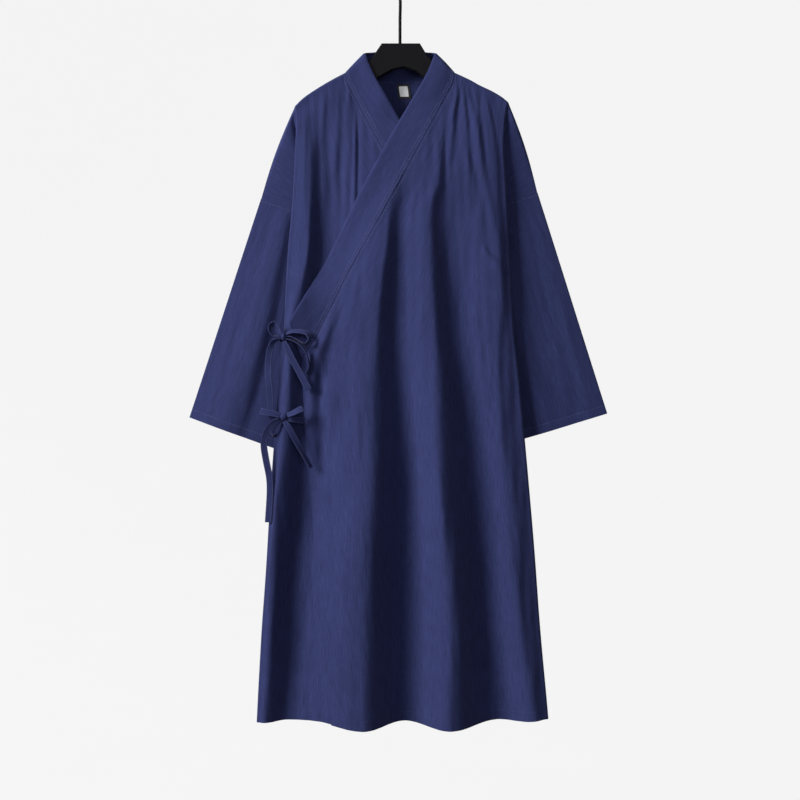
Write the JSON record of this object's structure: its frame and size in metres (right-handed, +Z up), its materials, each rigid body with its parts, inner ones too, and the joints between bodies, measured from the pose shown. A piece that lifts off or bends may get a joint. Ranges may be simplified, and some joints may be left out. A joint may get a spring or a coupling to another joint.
{
  "type": "kimono wrap dress on a hanger",
  "caption": "Long open-fronted wrap dress with a standing collar band, wide sleeves and side ties in bows, hung on a flat hanger.",
  "frame": {"origin": "seat of the hook: the inside of the top of the hanger's hook, where it rests on a rail", "axes": "+X to the viewer's right, -Y out of the front of the dress towards the viewer, +Z up"},
  "size_m": [0.7614, 0.1268, 1.3874],
  "materials": {
    "cloth": "matte woven",
    "label": "matte woven",
    "tab": "matte woven",
    "hanger": "matte",
    "hook": "satin"
  },
  "bodies": {
    "root": {"back": "cloth", "outer_front": "cloth", "under_front": "cloth", "collar_band": "cloth", "sleeve_left": "cloth", "sleeve_right": "cloth", "upper_knot": "cloth", "upper_loop_left": "cloth", "upper_loop_right": "cloth", "upper_tail_left": "cloth", "upper_tail_right": "cloth", "upper_lead_edge": "cloth", "upper_lead_side": "cloth", "lower_knot": "cloth", "lower_loop_left": "cloth", "lower_loop_right": "cloth", "lower_tail_left": "cloth", "lower_tail_right": "cloth", "lower_lead_edge": "cloth", "lower_lead_side": "cloth", "neck_label": "label", "label_tab": "tab", "hanger_body": "hanger", "hanger_hook": "hook"}
  },
  "joints": []
}
